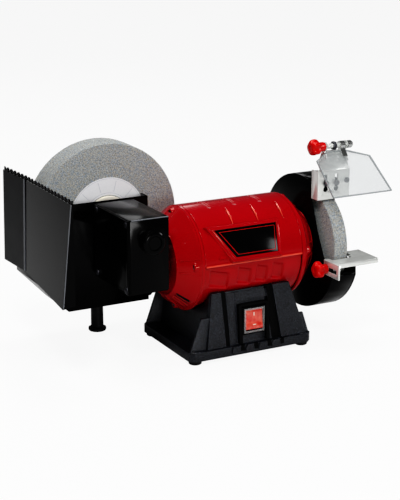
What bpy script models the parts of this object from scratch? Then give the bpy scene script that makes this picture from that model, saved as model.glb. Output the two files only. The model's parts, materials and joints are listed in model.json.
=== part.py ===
"""Wet and dry bench grinder.

A motor with a horizontal shaft stands on a pedestal.  Its right end carries a fast dry
grinding stone in a guard.  Its left end drives a worm gear, whose output shaft turns a large
slow stone in a water tank.

All dimensions below are in millimetres in the machine's own axes: X runs along the motor
shaft, Y points to the back, Z points up from the floor.  The root empty moves the machine so
that the middle of its footprint box is the world origin.
"""
import math

import bmesh
import bpy
from mathutils import Matrix, Vector

MM = 0.001

# Driving dimensions -------------------------------------------------------------------------
MOTOR_AXIS_Z = 125.0          # height of the motor shaft above the floor
SHELL_RADIUS = 69.5
SHELL_BORE = 66.5
CORE_X = (24.0, 64.0)          # lamination stacks of the stator and the rotor
SHELL_X = (-28.0, 116.0)
MOTOR_MID_X = sum(SHELL_X) / 2
CAP_LENGTH = 30.0
CAP_END_RADIUS = 46.0
SHAFT_RADIUS = 7.5
ARBOR_RADIUS = 6.2
FIT = 0.3                     # clearance between touching pieces

WET_AXIS = (-98.0, 169.5)     # x and z of the slow shaft
WET_STONE_RADIUS = 100.0
WET_STONE_Y = (76.0, 116.0)
WET_SHAFT_RADIUS = 7.8
WET_ARBOR_RADIUS = 9.7

DRY_STONE_RADIUS = 75.0
DRY_STONE_X = (162.0, 182.0)
GUARD_RADIUS = 91.5
GUARD_X = (152.0, 187.0)
GUARD_WALL = 1.8

GEAR_TEETH = 22
WORM_PITCH_RADIUS = 20.7
WHEEL_PITCH_RADIUS = WET_AXIS[1] - MOTOR_AXIS_Z - WORM_PITCH_RADIUS
WORM_PITCH = 2 * math.pi * WHEEL_PITCH_RADIUS / GEAR_TEETH

GEARBOX_X = (-124.0, -70.0)
GEARBOX_Y = (-50.0, 52.0)
GEARBOX_Z = (100.0, 197.6)

TANK_X = (-204.0, 12.0)
TANK_STEP_X = -48.0           # right of this the tank steps back behind the motor
TANK_Y = (57.0, 140.0)
TANK_STEP_Y = 71.5
TANK_RIM_Z = 140.0
SPLASH_TOP_Z = 198.0
TANK_BOTTOM_Z = 54.0
TANK_WALL = 2.5

PLATE_X = -205.0              # inner face of the serrated rest plate
PLATE_TOP_Z = 236.0

BASE_Z = (5.0, 17.0)          # flange of the pedestal
BASE_MID_X = 40.0
BASE_FLANGE = (91.0, 72.0)    # half sizes in x and y
FOOT_OFFSET = (80.0, 62.0)
FOOT_RADIUS = 8.5
BASE_TOP_Z = 90.0

SWITCH_CENTRE = (43.5, -60.0, 48.0)
SWITCH_REST_TILT = math.radians(-7.0)

REST_BOLT = (-78.0, 105.0)    # y and z of the dry rest's clamp bolt
REST_PLATE_Z = (112.0, 116.0)
SHIELD_BOLT = (-33.0, 259.0)  # y and z of the eye shield's hinge bolt
SHIELD_LOW_EDGE = (-80.0, 200.0)
SHIELD_SLOPE = math.atan2(43.0, 38.0)
SHIELD_RIGHT_X = 246.5
BRACKET_SLOTS_X = (164.5, 181.0)
BRACKET_SCREW_Z = 212.0
BRACKET_RIVET = (197.5, 213.5)  # x and z

PLATE_OUTER_X = -222.0
REST_FRONT_Y = -106.0
PLATE_FAR_Y = 152.0
ORIGIN = ((PLATE_OUTER_X + SHIELD_RIGHT_X) / 2, (REST_FRONT_Y + PLATE_FAR_Y) / 2, 0.0)

AXIS_INDEX = {"X": 0, "Y": 1, "Z": 2}


# Scene and materials ------------------------------------------------------------------------
def clear_scene():
    for old in list(bpy.data.objects):
        bpy.data.objects.remove(old, do_unlink=True)


def material(name, colour, roughness, metallic=0.0, alpha=1.0):
    made = bpy.data.materials.new(name)
    made.use_nodes = True
    shader = made.node_tree.nodes["Principled BSDF"]
    shader.inputs["Base Color"].default_value = (*colour, 1.0)
    shader.inputs["Roughness"].default_value = roughness
    shader.inputs["Metallic"].default_value = metallic
    shader.inputs["Alpha"].default_value = alpha
    made.diffuse_color = (*colour, alpha)
    return made


def make_materials():
    return {
        "red_paint": material("red_paint", (0.42, 0.0, 0.012), 0.22),
        "black_plastic": material("black_plastic", (0.012, 0.013, 0.015), 0.35),
        "base_plastic": material("base_plastic", (0.035, 0.04, 0.045), 0.55),
        "guard_paint": material("guard_paint", (0.02, 0.02, 0.022), 0.3),
        "stone": material("stone", (0.33, 0.34, 0.33), 0.9),
        "steel": material("steel", (0.62, 0.63, 0.6), 0.3, 1.0),
        "dark_steel": material("dark_steel", (0.2, 0.2, 0.21), 0.4, 1.0),
        "zinc": material("zinc", (0.74, 0.75, 0.72), 0.32, 1.0),
        "copper": material("copper", (0.6, 0.25, 0.12), 0.4, 1.0),
        "bronze": material("bronze", (0.55, 0.38, 0.16), 0.4, 1.0),
        "rubber": material("rubber", (0.015, 0.015, 0.016), 0.8),
        "red_plastic": material("red_plastic", (0.5, 0.0, 0.01), 0.35),
        "switch_red": material("switch_red", (0.75, 0.05, 0.04), 0.2),
        "cream_plastic": material("cream_plastic", (0.85, 0.82, 0.7), 0.5),
        "paper": material("paper", (0.85, 0.85, 0.86), 0.8),
        "clear_plastic": material("clear_plastic", (0.95, 0.96, 0.96), 0.05, 0.0, 0.3),
    }


# Mesh building blocks, all in machine millimetres -------------------------------------------
def loop_verts(bm, points):
    return [bm.verts.new(p) for p in points]


def bridge(bm, lower, upper):
    count = len(lower)
    for i in range(count):
        j = (i + 1) % count
        bm.faces.new((lower[i], lower[j], upper[j], upper[i]))


def finish(bm):
    bmesh.ops.recalc_face_normals(bm, faces=bm.faces)
    return bm


def loft(sections):
    """Solid through closed sections that all have the same number of points."""
    bm = bmesh.new()
    loops = [loop_verts(bm, section) for section in sections]
    for lower, upper in zip(loops, loops[1:]):
        bridge(bm, lower, upper)
    bm.faces.new(list(reversed(loops[0])))
    bm.faces.new(loops[-1])
    return finish(bm)


def in_space(axis, along, u, v):
    """Point from a distance along an axis and two coordinates across it (in X, Y, Z order)."""
    point = [u, v]
    point.insert(AXIS_INDEX[axis], along)
    return point


def prism(axis, span, outline):
    """Solid that extrudes a flat outline along an axis."""
    return loft([[in_space(axis, along, u, v) for u, v in outline] for along in span])


def box(x, y, z):
    return prism("Z", z, [(x[0], y[0]), (x[1], y[0]), (x[1], y[1]), (x[0], y[1])])


def soft_box(x, y, z, radius):
    bm = box(x, y, z)
    bmesh.ops.bevel(bm, geom=bm.edges[:], offset=radius, segments=2, affect="EDGES")
    return finish(bm)


def circle(radius, count, centre=(0.0, 0.0), start=0.0):
    step = 2 * math.pi / count
    return [(centre[0] + radius * math.cos(start + step * i),
             centre[1] + radius * math.sin(start + step * i)) for i in range(count)]


def arc(radius, first, last, count, centre=(0.0, 0.0)):
    """Points on an arc, its angles in degrees."""
    angles = [math.radians(first + (last - first) * i / (count - 1)) for i in range(count)]
    return [(centre[0] + radius * math.cos(a), centre[1] + radius * math.sin(a)) for a in angles]


def turned(axis, centre, profile, count=24):
    """Closed ring turned from a profile of (distance along the axis, radius) points.

    A profile that starts and ends on the axis (radius 0) gives a solid shape.
    """
    solid = profile[0][1] == 0
    ring_profile = profile[1:-1] if solid else profile
    loops = [[in_space(axis, along, *p) for p in circle(radius, count, centre)]
             for along, radius in ring_profile]
    if solid:
        return loft(loops)
    bm = bmesh.new()
    rings = [loop_verts(bm, points) for points in loops]
    for lower, upper in zip(rings, rings[1:] + rings[:1]):
        bridge(bm, lower, upper)
    return finish(bm)


def rod(axis, centre, span, radius, count=20):
    return prism(axis, span, circle(radius, count, centre))


def tube(axis, centre, span, outer, inner, count=24):
    start, end = span
    return turned(axis, centre, [(start, inner), (start, outer), (end, outer), (end, inner)], count)


def frame_prism(axis, span, outer, inner):
    """Prism with a hole through it; both outlines have the same number of points."""
    bm = bmesh.new()
    rings = []
    for along, outline in ((span[0], outer), (span[1], outer), (span[1], inner), (span[0], inner)):
        rings.append(loop_verts(bm, [in_space(axis, along, u, v) for u, v in outline]))
    for lower, upper in zip(rings, rings[1:] + rings[:1]):
        bridge(bm, lower, upper)
    return finish(bm)


def hex_nut(axis, centre, span, corner_radius, bore):
    """Hexagon nut; its outline also has each side's midpoint, so that it matches the bore."""
    flat_radius = corner_radius * math.cos(math.pi / 6)
    corners = circle(corner_radius, 6, centre)
    middles = circle(flat_radius, 6, centre, math.pi / 6)
    outline = [point for pair in zip(corners, middles) for point in pair]
    return frame_prism(axis, span, outline, circle(bore / math.cos(math.pi / 12), 12, centre))


def turn_mesh(bm, axis, angle, pivot):
    rotation = Matrix.Rotation(angle, 4, axis)
    bmesh.ops.rotate(bm, verts=bm.verts, cent=Vector(pivot), matrix=rotation.to_3x3())
    return bm


# Objects ------------------------------------------------------------------------------------
class Machine:
    """Holds the root empty, the joint empties and the materials while the parts are made."""

    def __init__(self):
        self.materials = make_materials()
        self.root = bpy.data.objects.new("machine", None)
        bpy.context.collection.objects.link(self.root)
        self.root.location = [-value * MM for value in ORIGIN]
        self.pivots = {"frame": (self.root, (0.0, 0.0, 0.0))}

    def pivot(self, name, place):
        """Empty on a joint's axis; the pieces that turn or slide with it hang from it."""
        empty = bpy.data.objects.new(name, None)
        bpy.context.collection.objects.link(empty)
        empty.parent = self.root
        empty.location = [value * MM for value in place]
        self.pivots[name] = (empty, place)

    def link(self, name, bm, pivot):
        parent, place = self.pivots[pivot]
        bmesh.ops.translate(bm, verts=bm.verts, vec=[-value for value in place])
        bmesh.ops.scale(bm, verts=bm.verts, vec=(MM, MM, MM))
        mesh = bpy.data.meshes.new(name)
        bm.to_mesh(mesh)
        bm.free()
        made = bpy.data.objects.new(name, mesh)
        bpy.context.collection.objects.link(made)
        made.parent = parent
        return made

    def part(self, name, bm, slot, pivot="frame", smooth=False, steps=()):
        """One sub-part; each step adds ("+") or cuts ("-") the shapes of its list, in order."""
        made = self.link(name, bm, pivot)
        made.data.materials.append(self.materials[slot])
        if smooth:
            made.data.shade_smooth()
            made.data.set_sharp_from_angle(angle=math.radians(35))
        for step, (sign, shapes) in enumerate(steps):
            for number, shape in enumerate(shapes):
                tool = self.link(f"{name}_tool_{step}_{number}", shape, pivot)
                tool.hide_render = True
                tool.display_type = "WIRE"
                modifier = made.modifiers.new(f"step_{step}_{number}", "BOOLEAN")
                modifier.operation = "UNION" if sign == "+" else "DIFFERENCE"
                modifier.solver = "EXACT"
                modifier.object = tool
        return made


# Pedestal -----------------------------------------------------------------------------------
def base_section(z, x_span, half_y, corner=6.0):
    x0, x1 = x_span
    return [(x0 + corner, -half_y, z), (x1 - corner, -half_y, z), (x1, -half_y + corner, z),
            (x1, half_y - corner, z), (x1 - corner, half_y, z), (x0 + corner, half_y, z),
            (x0, half_y - corner, z), (x0, -half_y + corner, z)]


def gusset(x_low, x_knee, x_high, z_high, y, thickness=3.0):
    """Rib that stands on the flange and slopes up to a short level top at the pedestal."""
    foot = BASE_Z[1] - 1
    outline = [(x_low, foot), (x_high, foot), (x_high, z_high), (x_knee, z_high)]
    return loft([[(u, side, v) for u, v in outline] for side in (y, y + thickness)])


def make_base(machine):
    half_x, half_y = BASE_FLANGE
    flange_x = (BASE_MID_X - half_x, BASE_MID_X + half_x)
    body = loft([base_section(BASE_Z[0], flange_x, half_y),
                 base_section(BASE_Z[1], flange_x, half_y),
                 base_section(BASE_Z[1] + 0.5, (-27, 124.5), 67, 2),
                 base_section(BASE_TOP_Z, (-18, 100), 61, 2)])
    ribs = [gusset(-49.5, -33.5, -19, 60, side) for side in (-66, 63)]
    ribs += [gusset(129.5, 119.5, 109, 46, side) for side in (-66, 63)]
    saddle = rod("X", (0, MOTOR_AXIS_Z), (-80, 160), SHELL_RADIUS + FIT, 48)
    hollow = loft([base_section(7.2, (-22, 119.5), 62, 2), base_section(50, (-17.5, 108), 58, 2)])
    recess = box((flange_x[0] + 4, flange_x[1] - 4), (-half_y + 4, half_y - 4), (4, 7.3))
    sx, _, sz = SWITCH_CENTRE
    pocket = box((sx - 17.5, sx + 17.5), (-80, -44), (sz - 19, sz + 19))
    grooves = [prism("Y", (-80, -63.5), [(foot[0], 24), (foot[1], 24), (top[0], 100), (top[1], 100)])
               for foot, top in (((2.8, 7.8), (3.0, -3.4)), ((72.4, 84.0), (72.2, 60.6)))]
    gland_hole = rod("Y", (BASE_MID_X, 32), (50, 90), 7.3)
    machine.part("base_stand", body, "base_plastic",
                 steps=[("+", ribs), ("-", [saddle, hollow, recess, pocket, gland_hole] + grooves)])
    machine.part("base_bottom_plate",
                 box((flange_x[0] + 4.5, flange_x[1] - 4.5), (-half_y + 4.5, half_y - 4.5), (5, 6.9)),
                 "dark_steel")
    for number, (sign_x, sign_y) in enumerate(((-1, -1), (1, -1), (1, 1), (-1, 1)), start=1):
        centre = (BASE_MID_X + sign_x * FOOT_OFFSET[0], sign_y * FOOT_OFFSET[1])
        foot = turned("Z", centre, [(0, 0), (0, FOOT_RADIUS - 1), (1.2, FOOT_RADIUS),
                                    (4.7, FOOT_RADIUS - 0.8), (4.7, 0)], 16)
        machine.part(f"rubber_foot_{number}", foot, "rubber", smooth=True)
    machine.part("run_capacitor", turned("X", (12, 30), [(-12, 0), (-12, 15), (-10, 17), (58, 17),
                                                         (60, 15), (60, 0)], 16), "zinc", smooth=True)
    machine.part("cable_gland", turned("Y", (BASE_MID_X, 32), [(58, 4), (58, 7), (67, 7), (67, 10),
                                                               (71, 10), (80, 6.5), (80, 4)], 16),
                 "rubber", smooth=True)


def rectangle(x, z):
    return [(x[0], z[0]), (x[1], z[0]), (x[1], z[1]), (x[0], z[1])]


def make_switch(machine):
    x, y, z = SWITCH_CENTRE
    frame = frame_prism("Y", (-68.5, -46), rectangle((x - 17.2, x + 17.2), (z - 18.7, z + 18.7)),
                        rectangle((x - 13.6, x + 13.6), (z - 16, z + 16)))
    machine.part("switch_frame", frame, "black_plastic")
    machine.pivot("switch_axis", SWITCH_CENTRE)
    side = [(-8.5, -13.5), (-9.5, -6), (-9.0, 0), (-9.5, 6), (-8.5, 13.5), (4, 12), (7, 0), (4, -12)]
    outline = [(y + dy, z + dz) for dy, dz in side]
    rocker = prism("X", (x - 13, x + 13), outline)
    turn_mesh(rocker, "X", SWITCH_REST_TILT, SWITCH_CENTRE)
    machine.part("switch_rocker", rocker, "switch_red", pivot="switch_axis")


# Motor --------------------------------------------------------------------------------------
def badge_block(depths, grow=0.0):
    """Trapezoid block on the front of the shell, between two distances from the motor axis."""
    tilt = math.radians(25)
    normal = Vector((0, -math.cos(tilt), math.sin(tilt)))
    upward = Vector((0, math.sin(tilt), math.cos(tilt)))
    centre = Vector((0, 0, MOTOR_AXIS_Z))
    corners = [(15 - grow, -18.5 - grow), (76 + grow, -18.5 - grow),
               (81 + grow, 18.5 + grow), (-9 - 2 * grow, 18.5 + grow)]
    return loft([[centre + normal * depth + upward * v + Vector((u, 0, 0)) for u, v in corners]
                 for depth in depths])


def mirrored_cap_profile(side):
    """End bell profile; side is -1 for the left end and 1 for the right end."""
    half = (SHELL_X[1] - SHELL_X[0]) / 2
    profile = [(0.3, SHELL_RADIUS), (5, SHELL_RADIUS), (CAP_LENGTH, CAP_END_RADIUS),
               (CAP_LENGTH, SHAFT_RADIUS + 0.8), (26.5, SHAFT_RADIUS + 0.8), (26.5, 17.8),
               (15, 17.8), (15, 21.5), (26, 21.5), (26, 42.5), (4, 63.5), (0.3, SHELL_BORE)]
    return [(MOTOR_MID_X + side * (half + along), radius) for along, radius in profile]


def slotted_ring(outer, bore, slot_radius, slots, span):
    """Lamination stack with slots that open towards the bore."""
    inner_loop = []
    outer_loop = []
    pitch = 2 * math.pi / slots
    for i in range(slots):
        for offset, radius in ((-0.36, bore), (-0.27, slot_radius), (0.27, slot_radius), (0.36, bore)):
            angle = pitch * (i + offset)
            inner_loop.append((radius * math.cos(angle), MOTOR_AXIS_Z + radius * math.sin(angle)))
            outer_loop.append((outer * math.cos(angle), MOTOR_AXIS_Z + outer * math.sin(angle)))
    return frame_prism("X", span, outer_loop, inner_loop)


def make_motor(machine):
    axis = (0.0, MOTOR_AXIS_Z)
    shell = tube("X", axis, SHELL_X, SHELL_RADIUS, SHELL_BORE, 48)
    machine.part("motor_shell", shell, "red_paint", smooth=True,
                 steps=[("-", [badge_block((67.2, 80), 0.3)])])
    machine.part("badge_plate", badge_block((67.5, 71.0)), "black_plastic")
    for name, side in (("left", -1), ("right", 1)):
        cap = turned("X", axis, mirrored_cap_profile(side), 32)
        machine.part(f"end_cap_{name}", cap, "red_paint", smooth=True)
        bearing_x = sorted(MOTOR_MID_X + side * (72 + d) for d in (15.3, 26.2))
        machine.part(f"bearing_{name}", tube("X", axis, bearing_x, 17.5, SHAFT_RADIUS + FIT, 16),
                     "steel", smooth=True)
        ends = sorted(MOTOR_MID_X + side * d for d in (20.4, 22, 31, 33))
        profile = [(ends[0], 43), (ends[0], 52), (ends[1], 54), (ends[2], 54), (ends[3], 51),
                   (ends[3], 45), (ends[2], 42), (ends[1], 42)]
        machine.part(f"winding_{name}", turned("X", axis, profile, 20), "copper", smooth=True)
    machine.part("stator_core", slotted_ring(SHELL_BORE - FIT, 35.2, 56, 12, CORE_X), "dark_steel")

    machine.pivot("motor_axis", (0.0, 0.0, MOTOR_AXIS_Z))
    machine.part("rotor_core", tube("X", axis, CORE_X, 34.6, SHAFT_RADIUS + FIT, 24), "dark_steel",
                 "motor_axis", smooth=True)
    shaft = turned("X", axis, [(-120, 0), (-120, 6.5), (-119, SHAFT_RADIUS), (154.7, SHAFT_RADIUS),
                               (154.7, ARBOR_RADIUS), (194, ARBOR_RADIUS), (195, 5.2), (195, 0)], 20)
    machine.part("motor_shaft", shaft, "steel", "motor_axis", smooth=True)


# Gearbox ------------------------------------------------------------------------------------
def thread_section(angle, x):
    """Trapezoid section of the worm thread at one angle round the motor axis."""
    root, tip = WORM_PITCH_RADIUS - 2.6, WORM_PITCH_RADIUS + 1.8
    section = []
    for radius, half_width in ((root, 2.3), (tip, 0.8)):
        for sign in ((-1, 1) if radius == root else (1, -1)):
            section.append((x + sign * half_width, radius * math.cos(angle),
                            MOTOR_AXIS_Z + radius * math.sin(angle)))
    return section


def make_worm(machine):
    steps_per_turn = 18
    turns = 5
    sections = []
    for i in range(steps_per_turn * turns + 1):
        turned_by = (i / steps_per_turn - turns / 2)
        angle = math.pi / 2 + 2 * math.pi * turned_by
        sections.append(thread_section(angle, WET_AXIS[0] + WORM_PITCH * turned_by))
    core = tube("X", (0.0, MOTOR_AXIS_Z), (WET_AXIS[0] - 20, WET_AXIS[0] + 20),
                WORM_PITCH_RADIUS - 2.2, SHAFT_RADIUS + FIT, steps_per_turn)
    machine.part("worm", core, "steel", "motor_axis", steps=[("+", [loft(sections)])])


def make_worm_wheel(machine):
    half_face = 6.0
    lead = math.atan(WORM_PITCH / (2 * math.pi * WORM_PITCH_RADIUS))
    tooth = ((-2.25, -2.2), (-0.85, 1.7), (0.85, 1.7), (2.25, -2.2))
    bm = bmesh.new()
    rings = []
    for y, kind in ((-half_face, "teeth"), (half_face, "teeth"), (half_face, "bore"),
                    (-half_face, "bore")):
        twist = math.tan(lead) * y / WHEEL_PITCH_RADIUS
        points = []
        for i in range(GEAR_TEETH):
            middle = 2 * math.pi * (i + 0.5) / GEAR_TEETH + twist
            for offset, height in tooth:
                radius = WHEEL_PITCH_RADIUS + height if kind == "teeth" else WET_SHAFT_RADIUS + FIT
                angle = middle + offset / WHEEL_PITCH_RADIUS
                points.append((WET_AXIS[0] - radius * math.sin(angle), y,
                               WET_AXIS[1] - radius * math.cos(angle)))
        rings.append(loop_verts(bm, points))
    for lower, upper in zip(rings, rings[1:] + rings[:1]):
        bridge(bm, lower, upper)
    machine.part("worm_wheel", finish(bm), "bronze", "wet_axis")


def make_gearbox(machine):
    wall = 2.1
    x, y, z = GEARBOX_X, GEARBOX_Y, GEARBOX_Z
    outer = soft_box((x[0] - 6, x[1]), y, z, 1.7)
    open_side = box((x[0] - 20, x[0]), (y[0] - 5, y[1] + 5), (z[0] - 5, z[1] + 5))
    cavity = box((x[0] - 5, x[1] - wall), (y[0] + 3, y[1] - 3), (z[0] + wall, z[1] - wall))
    boss = rod("Y", WET_AXIS, (-66, y[0] + 1), 15.0, 24)
    rear_boss = rod("Y", WET_AXIS, (41, y[1] - 1), 14.0)
    neck = rod("X", (0.0, MOTOR_AXIS_Z), (x[1] - 1, MOTOR_MID_X - 102.3), 21.0)
    bush_bore = rod("Y", WET_AXIS, (-62.5, 80), 10.3, 16)
    shaft_hole = rod("X", (0.0, MOTOR_AXIS_Z), (x[1] - 10, -50), 8.3)
    corners = [(cy, cz) for cy in (y[0] + 6, y[1] - 6) for cz in (z[0] + 6, z[1] - 6)]
    posts = [rod("X", corner, (x[0] + 0.2, x[1] - 1), 4.6, 10) for corner in corners]
    post_holes = [rod("X", corner, (x[0] - 1, x[0] + 10), 1.9, 8) for corner in corners]
    machine.part("gearbox_housing", outer, "black_plastic",
                 steps=[("-", [open_side, cavity]), ("+", [boss, neck, rear_boss] + posts),
                        ("-", [bush_bore, shaft_hole] + post_holes)])

    cover = soft_box((x[0] - 3, x[0] + 3), y, z, 1.2)
    trim = box((x[0] - FIT, x[0] + 10), (y[0] - 5, y[1] + 5), (z[0] - 5, z[1] + 5))
    holes = [rod("X", corner, (x[0] - 10, x[0] + 5), 1.9, 8) for corner in corners]
    machine.part("gearbox_cover", cover, "black_plastic", steps=[("-", [trim] + holes)])
    for number, corner in enumerate(corners, start=1):
        face = x[0] - 3
        screw = turned("X", corner, [(face - 2.2, 0), (face - 2.2, 2.4), (face - 1.5, 3.2),
                                     (face - FIT, 3.2), (face - FIT, 1.6), (x[0] + 9, 1.6),
                                     (x[0] + 9, 0)], 10)
        machine.part(f"cover_screw_{number}", screw, "steel", smooth=True)
    machine.part("bush_front", tube("Y", WET_AXIS, (-62.2, -47.5), 10.0, WET_SHAFT_RADIUS + FIT, 16),
                 "bronze", smooth=True)
    machine.part("bush_rear", tube("Y", WET_AXIS, (41.3, 53), 10.0, WET_SHAFT_RADIUS + FIT, 16),
                 "bronze", smooth=True)


# Wet side -----------------------------------------------------------------------------------
def make_wet_wheel(machine):
    near, far = WET_STONE_Y
    machine.pivot("wet_axis", (WET_AXIS[0], near, WET_AXIS[1]))
    shaft = turned("Y", WET_AXIS, [(-61.5, 0), (-61.5, WET_SHAFT_RADIUS), (60.5, WET_SHAFT_RADIUS),
                                   (60.5, 13), (70.7, 13), (70.7, WET_ARBOR_RADIUS),
                                   (132, WET_ARBOR_RADIUS), (133.5, 8.2), (133.5, 0)], 16)
    machine.part("wet_shaft", shaft, "steel", "wet_axis", smooth=True)
    bore = WET_ARBOR_RADIUS + FIT
    stone = turned("Y", WET_AXIS, [(near, bore), (near, WET_STONE_RADIUS - 1),
                                   (near + 1, WET_STONE_RADIUS), (far - 1, WET_STONE_RADIUS),
                                   (far, WET_STONE_RADIUS - 1), (far, bore)], 56)
    machine.part("wet_stone", stone, "stone", "wet_axis", smooth=True)
    machine.part("stone_label", tube("Y", WET_AXIS, (near - 0.8, near - FIT), 54.5, 31, 32), "paper",
                 "wet_axis", smooth=True)
    front = turned("Y", WET_AXIS, [(near - 5, bore), (near - 5, 24), (near - 4, 29),
                                   (near - 1.5, 30), (near - FIT, 30), (near - FIT, bore)], 24)
    machine.part("wet_flange_front", front, "cream_plastic", "wet_axis", smooth=True)
    back = turned("Y", WET_AXIS, [(far + FIT, bore), (far + FIT, 30), (far + 2, 30), (far + 5, 22),
                                  (far + 5, bore)], 24)
    machine.part("wet_flange_back", back, "cream_plastic", "wet_axis", smooth=True)
    nut = hex_nut("Y", WET_AXIS, (far + 5.3, far + 14), 15.5, bore)
    machine.part("wet_nut", nut, "steel", "wet_axis")


def tank_outline(inset, top):
    """Side view of the tank: flat bottom with a slope up to each end."""
    x0, x1 = TANK_X[0] + inset, TANK_X[1] - inset
    low = TANK_BOTTOM_Z + inset
    return [(x0, top), (x0, 96 + inset * 0.4), (x0 + 40, low), (-38 - inset * 0.4, low),
            (x1, 106 + inset * 0.4), (x1, top)]


def make_tank(machine):
    y0, y1 = TANK_Y
    wall = TANK_WALL
    step_x = TANK_STEP_X
    outer = prism("Y", (y0, y1), tank_outline(0, TANK_RIM_Z))
    inner = prism("Y", (TANK_STEP_Y + wall, y1 - wall), tank_outline(wall, TANK_RIM_Z + 5))
    left_inner = [(TANK_X[0] + wall, TANK_RIM_Z + 5), (TANK_X[0] + wall, 97),
                  (TANK_X[0] + 40 + wall, TANK_BOTTOM_Z + wall), (step_x - wall, TANK_BOTTOM_Z + wall),
                  (step_x - wall, TANK_RIM_Z + 5)]
    front_inner = prism("Y", (y0 + wall, TANK_STEP_Y + wall + 1), left_inner)
    motor_side = box((step_x, TANK_X[1] + 5), (y0 - 5, TANK_STEP_Y), (0, 300))
    splash = box((TANK_X[0], step_x), (y0, y0 + wall), (TANK_RIM_Z - 1, SPLASH_TOP_Z))
    returns = [box((x, x + wall), (y0, 74), (TANK_RIM_Z - 1, SPLASH_TOP_Z))
               for x in (TANK_X[0], step_x - wall)]
    pads = [box((PLATE_X + FIT, TANK_X[0] + 1), (y, y + 12), (112, 134)) for y in (66, 120)]
    shaft_hole = rod("Y", WET_AXIS, (y0 - 5, y0 + 8), 11.0, 24)
    machine.part("water_tank", outer, "black_plastic",
                 steps=[("+", [splash] + returns + pads),
                        ("-", [motor_side, inner, front_inner, shaft_hole])])
    machine.part("tank_foot", turned("Z", (WET_AXIS[0], 118), [(0, 0), (0, 11.4), (1, 12.2), (4, 12.2),
                                                               (6, 8.6), (53.7, 8.2), (53.7, 0)], 16),
                 "rubber", smooth=True)
    machine.part("drain_plug", turned("Z", (-148, 118), [(42, 0), (42, 3.6), (43, 4.5), (48, 4.5),
                                                         (48, 6.5), (53.7, 6.5), (53.7, 0)], 12),
                 "rubber", smooth=True)


def make_rest_plate(machine):
    """Tall plate beside the big stone; wedge-shaped at its near end, bent at its far end."""
    sections = []
    for y, inner_x, foot_x, low in ((-65, PLATE_X, PLATE_OUTER_X, 102), (85, PLATE_X, -212, 109),
                                    (PLATE_FAR_Y, PLATE_X - 5, -216, 109)):
        sections.append([(inner_x, y, PLATE_TOP_Z), (inner_x - 3, y, PLATE_TOP_Z), (foot_x, y, low),
                         (inner_x, y, low + 2)])
    machine.part("tool_rest_plate", loft(sections), "black_plastic")


# Dry side -----------------------------------------------------------------------------------
def guard_outline():
    """Side view of the guard: a disc open at the front, with an ear for the tool rest."""
    rim = arc(GUARD_RADIUS, 200, 468, 44, (0, MOTOR_AXIS_Z))
    return rim + [(-30, 187), (-44, 150), (-60, 119), (-66, 111), (-85, 110)]


def guard_lugs():
    return [(86 * math.cos(math.radians(a)), MOTOR_AXIS_Z + 86 * math.sin(math.radians(a)))
            for a in (75, 335, 225)]


def make_guard(machine):
    axis = (0.0, MOTOR_AXIS_Z)
    x0, x1 = GUARD_X
    inside = rod("X", axis, (x0 + GUARD_WALL, x1 + 5), GUARD_RADIUS - GUARD_WALL, 48)
    hub = rod("X", axis, (MOTOR_MID_X + 102.3, x0 + 1), 24, 24)
    front_lip = [box((x0 + 2.4, x1), (-43.2, -41.4), (194, 216.4)),
                 box((x0 + 2.4, x1), (-43.2, -12), (214.6, 216.4))]
    lip_holes = [rod("Y", (x, BRACKET_SCREW_Z), (-50, -38), 2.1, 8) for x in BRACKET_SLOTS_X]
    lugs = [rod("X", lug, (168, x1 - 0.1), 5, 10) for lug in guard_lugs()]
    lug_holes = [rod("X", lug, (176, x1 + 5), 2.1, 8) for lug in guard_lugs()]
    holes = [rod("X", axis, (140, 160), 9, 24), rod("X", REST_BOLT, (140, 160), 3.2, 16)]
    machine.part("guard_body", prism("X", (x0, x1), guard_outline()), "guard_paint",
                 steps=[("-", [inside]), ("+", [hub] + lugs + front_lip),
                        ("-", holes + lug_holes + lip_holes)])

    cover = prism("X", (x1 + FIT, x1 + 2.3), guard_outline())
    machine.part("guard_cover", cover, "guard_paint",
                 steps=[("+", [rod("X", axis, (x1 + 1, x1 + 12), 24, 24)]),
                        ("-", [rod("X", axis, (x1 - 5, x1 + 10), 22, 24)]
                         + [rod("X", lug, (x1 - 5, x1 + 5), 2.1, 8) for lug in guard_lugs()])])
    for number, lug in enumerate(guard_lugs(), start=1):
        face = x1 + 2.3
        screw = turned("X", lug, [(177, 0), (177, 1.8), (face + FIT, 1.8), (face + FIT, 4),
                                  (face + 1.6, 4), (face + 2.6, 2.8), (face + 2.6, 0)], 10)
        machine.part(f"guard_screw_{number}", screw, "steel", smooth=True)


def make_dry_wheel(machine):
    axis = (0.0, MOTOR_AXIS_Z)
    near, far = DRY_STONE_X
    bore = ARBOR_RADIUS + FIT
    stone = turned("X", axis, [(near, bore), (near, DRY_STONE_RADIUS - 0.8),
                               (near + 0.8, DRY_STONE_RADIUS), (far - 0.8, DRY_STONE_RADIUS),
                               (far, DRY_STONE_RADIUS - 0.8), (far, bore)], 48)
    machine.part("dry_stone", stone, "stone", "motor_axis", smooth=True)
    inner = turned("X", axis, [(155, bore), (155, 14), (158.5, 24), (near - FIT, 24),
                               (near - FIT, bore)])
    machine.part("dry_flange_inner", inner, "zinc", "motor_axis", smooth=True)
    outer = turned("X", axis, [(far + FIT, bore), (far + FIT, 20), (far + 1.5, 20), (far + 3, 14),
                               (far + 3, bore)])
    machine.part("dry_flange_outer", outer, "zinc", "motor_axis", smooth=True)
    nut = hex_nut("X", axis, (far + 3.3, far + 11), 11, bore)
    machine.part("dry_nut", nut, "steel", "motor_axis")


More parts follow.
